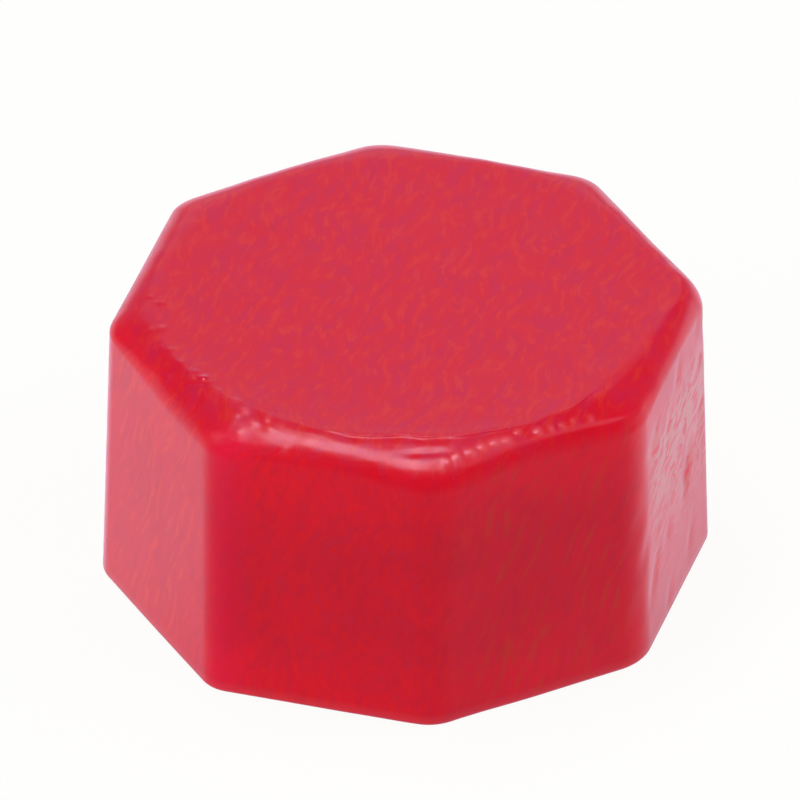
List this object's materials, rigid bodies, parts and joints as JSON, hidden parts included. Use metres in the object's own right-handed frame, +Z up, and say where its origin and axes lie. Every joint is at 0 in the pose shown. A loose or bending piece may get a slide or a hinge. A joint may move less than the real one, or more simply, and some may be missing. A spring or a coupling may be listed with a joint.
{
  "type": "sealing wax bead",
  "caption": "Octagonal cast sealing wax bead with leaning flanks, a rounded shoulder and a shallow round dish in its top, melted in a spoon and pressed with a stamp.",
  "frame": {"origin": "middle of the flat base, on the surface that the bead stands on", "axes": "+Z up through the middle of the dish; two opposite flanks face +X and -X, two face +Y and -Y"},
  "size_m": [0.008, 0.008, 0.0044],
  "materials": {
    "red_wax": "glossy cast wax, slightly translucent, faintly streaked"
  },
  "bodies": {
    "root": {"wax_bead": "red_wax"}
  },
  "joints": []
}
